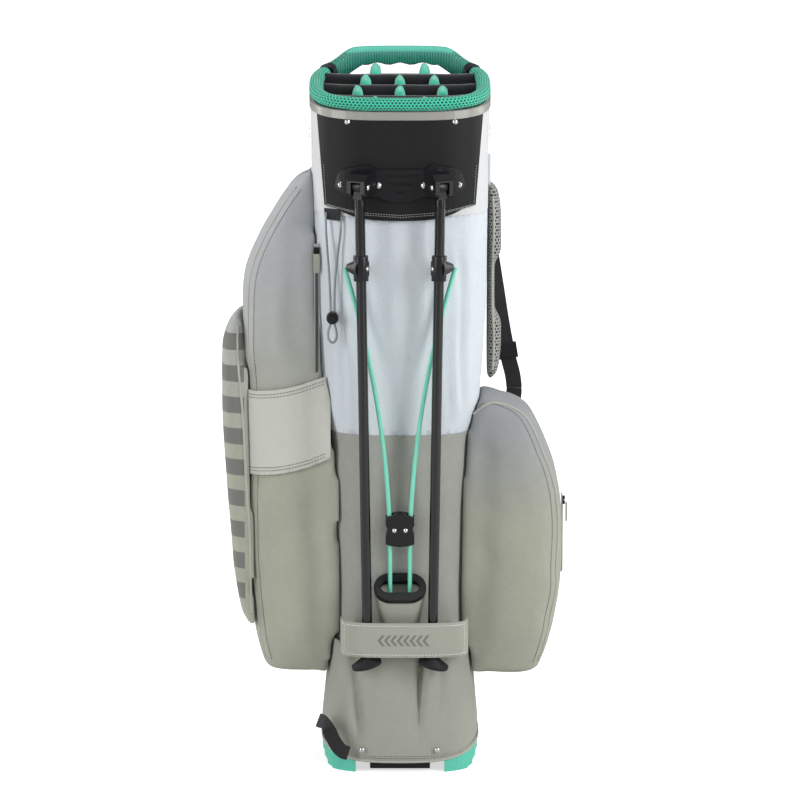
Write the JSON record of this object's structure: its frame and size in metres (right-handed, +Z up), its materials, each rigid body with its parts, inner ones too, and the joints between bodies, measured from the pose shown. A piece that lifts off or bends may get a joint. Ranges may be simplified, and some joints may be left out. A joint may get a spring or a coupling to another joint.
{
  "type": "golf stand bag",
  "caption": "Golf bag with a divided padded top, side pockets, a moulded base and two folding legs spread by tie rods when the bag leans.",
  "frame": {"origin": "middle of the bag's bounding box, on the floor", "axes": "+Z up along the tube, -Y towards the legs and front, +X towards the right pocket"},
  "size_m": [0.4334, 0.2531, 0.9],
  "materials": {
    "mint_plastic": "satin moulded plastic",
    "black_plastic": "satin moulded plastic",
    "gloss_black": "gloss paint on aluminium tube",
    "mint_mesh": "open spacer mesh over foam",
    "mint_fleece": "soft lining over foam",
    "black_lining": "soft lining over foam",
    "ice_twill": "coated twill",
    "sage_twill": "coated twill",
    "pocket_cloth": "coated polyester",
    "band_cloth": "coated polyester",
    "black_vinyl": "grained vinyl with stitching",
    "silver_vinyl": "smooth vinyl",
    "rod_paint": "satin paint on steel rod",
    "bright_steel": "polished",
    "black_rubber": "matte",
    "black_webbing": "woven webbing",
    "pad_mesh": "open spacer mesh over foam",
    "cord_braid": "braided elastic",
    "white_rod": "glass fibre rod"
  },
  "bodies": {
    "root": {"base_cup": "mint_plastic", "dome_rivets": "bright_steel", "boot": "band_cloth", "lower_front_panel": "sage_twill", "upper_front_panel": "ice_twill", "back_panel": "ice_twill", "collar_shell": "black_plastic", "collar_wrap": "ice_twill", "front_patch": "black_vinyl", "side_screws": "bright_steel", "rim_trim": "silver_vinyl", "rim_cushion": "mint_mesh", "rim_end_caps": "black_plastic", "lift_handle": "mint_plastic", "divider_bars": "black_lining", "divider_fins": "mint_fleece", "stay_rods": "white_rod", "stand_plate": "black_plastic", "leg_hinge_pins": "bright_steel", "rod_port_bezel": "black_plastic", "rod_port_cup": "band_cloth", "left_pocket": "pocket_cloth", "left_pocket_sleeve": "band_cloth", "left_outer_pocket": "pocket_cloth", "right_pocket": "pocket_cloth", "left_zip": "black_webbing", "right_zip": "black_webbing", "umbrella_tab": "black_webbing", "umbrella_cord": "cord_braid", "umbrella_loop": "black_webbing", "strap_pad": "pad_mesh", "strap_webbing": "black_webbing", "strap_anchors": "black_webbing", "hip_pad": "pad_mesh", "actuator_pin": "bright_steel"},
    "left_leg": {"left_leg_plug": "black_plastic", "left_leg_tube": "gloss_black", "left_leg_collar": "black_plastic", "left_collar_screw": "bright_steel", "left_leg_foot": "black_rubber"},
    "right_leg": {"right_leg_plug": "black_plastic", "right_leg_tube": "gloss_black", "right_leg_collar": "black_plastic", "right_collar_screw": "bright_steel", "right_leg_foot": "black_rubber"},
    "rod_yoke": {"lower_tie_rods": "rod_paint", "rod_clamp": "black_plastic", "clamp_rivets": "bright_steel"},
    "left_rod": {"left_tie_rod": "rod_paint"},
    "right_rod": {"right_tie_rod": "rod_paint"},
    "actuator": {"actuator_foot": "black_plastic"},
    "leg_lock": {"leg_lock_band": "band_cloth"},
    "toggle": {"toggle_barrel": "black_plastic"},
    "toggle_key": {"toggle_button": "black_plastic"},
    "webbing_slider": {"strap_slider": "black_plastic"},
    "left_slider": {"left_zip_slider": "black_plastic"},
    "left_pull": {"left_zip_pull": "black_webbing"},
    "right_slider": {"right_zip_slider": "black_plastic"},
    "right_pull": {"right_zip_pull": "black_webbing"}
  },
  "joints": [
    {"name": "left_leg_swing", "type": "hinge", "parent": "root", "child": "left_leg", "pos_m": [-0.0455, -0.1115, 0.752], "axis": [-0.866, 0.5, 0], "range_deg": [0, 32], "deforming": ["leg_lock_band"]},
    {"name": "right_leg_swing", "type": "hinge", "parent": "root", "child": "right_leg", "pos_m": [0.0545, -0.1115, 0.752], "axis": [-0.866, -0.5, 0], "range_deg": [0, 32.5]},
    {"name": "tie_rod_lift", "type": "slide", "parent": "root", "child": "rod_yoke", "axis": [0, -0.0934, 0.9956], "range_m": [0, 0.025]},
    {"name": "left_tie_rod_tilt", "type": "hinge", "parent": "rod_yoke", "child": "left_rod", "pos_m": [-0.0087, -0.09386, 0.331], "axis": [0.8331, -0.5352, 0.1396], "range_deg": [0, 10.1]},
    {"name": "right_tie_rod_tilt", "type": "hinge", "parent": "rod_yoke", "child": "right_rod", "pos_m": [0.0177, -0.09386, 0.331], "axis": [0.8331, 0.5352, -0.1396], "range_deg": [0, 10.1]},
    {"name": "actuator_swing", "type": "hinge", "parent": "root", "child": "actuator", "pos_m": [0.0045, 0.0745, 0.04], "axis": [-1, 0, 0], "range_deg": [0, 10.3]},
    {"name": "leg_lock_open", "type": "hinge", "parent": "root", "child": "leg_lock", "pos_m": [-0.069, -0.0685, 0.178], "axis": [0, 0, -1], "range_deg": [0, 110]},
    {"name": "toggle_slide", "type": "slide", "parent": "root", "child": "toggle", "axis": [0, 0, 1], "range_m": [-0.004, 0.06], "deforming": ["umbrella_cord"]},
    {"name": "toggle_press", "type": "slide", "parent": "toggle", "child": "toggle_key", "axis": [0, 1, 0], "range_m": [0, 0.003], "stiffness_N_per_m": 150},
    {"name": "webbing_slider_slide", "type": "slide", "parent": "root", "child": "webbing_slider", "axis": [-0.1629, 0, 0.9866], "range_m": [0, 0.06]},
    {"name": "left_zip_slide", "type": "slide", "parent": "root", "child": "left_slider", "axis": [0, 0, 1], "range_m": [-0.142, 0]},
    {"name": "left_zip_pull_turn", "type": "hinge", "parent": "left_slider", "child": "left_pull", "pos_m": [-0.0995, -0.0589, 0.659], "axis": [-1, 0, 0], "range_deg": [0, 150]},
    {"name": "right_zip_slide", "type": "slide", "parent": "root", "child": "right_slider", "axis": [0, 0, 1], "range_m": [-0.08, 0.003]},
    {"name": "right_zip_pull_turn", "type": "hinge", "parent": "right_slider", "child": "right_pull", "pos_m": [0.2161, 0.0345, 0.325], "axis": [0, -1, 0], "range_deg": [0, 150]}
  ],
  "couplings": [
    {"joint": "right_leg_swing", "follows": "left_leg_swing", "ratio": 1},
    {"joint": "tie_rod_lift", "follows": "left_leg_swing", "m_per_rad": 0.04317},
    {"joint": "left_tie_rod_tilt", "follows": "left_leg_swing", "ratio": 0.29986},
    {"joint": "right_tie_rod_tilt", "follows": "left_leg_swing", "ratio": 0.29986},
    {"joint": "actuator_swing", "follows": "left_leg_swing", "ratio": 0.30632}
  ]
}
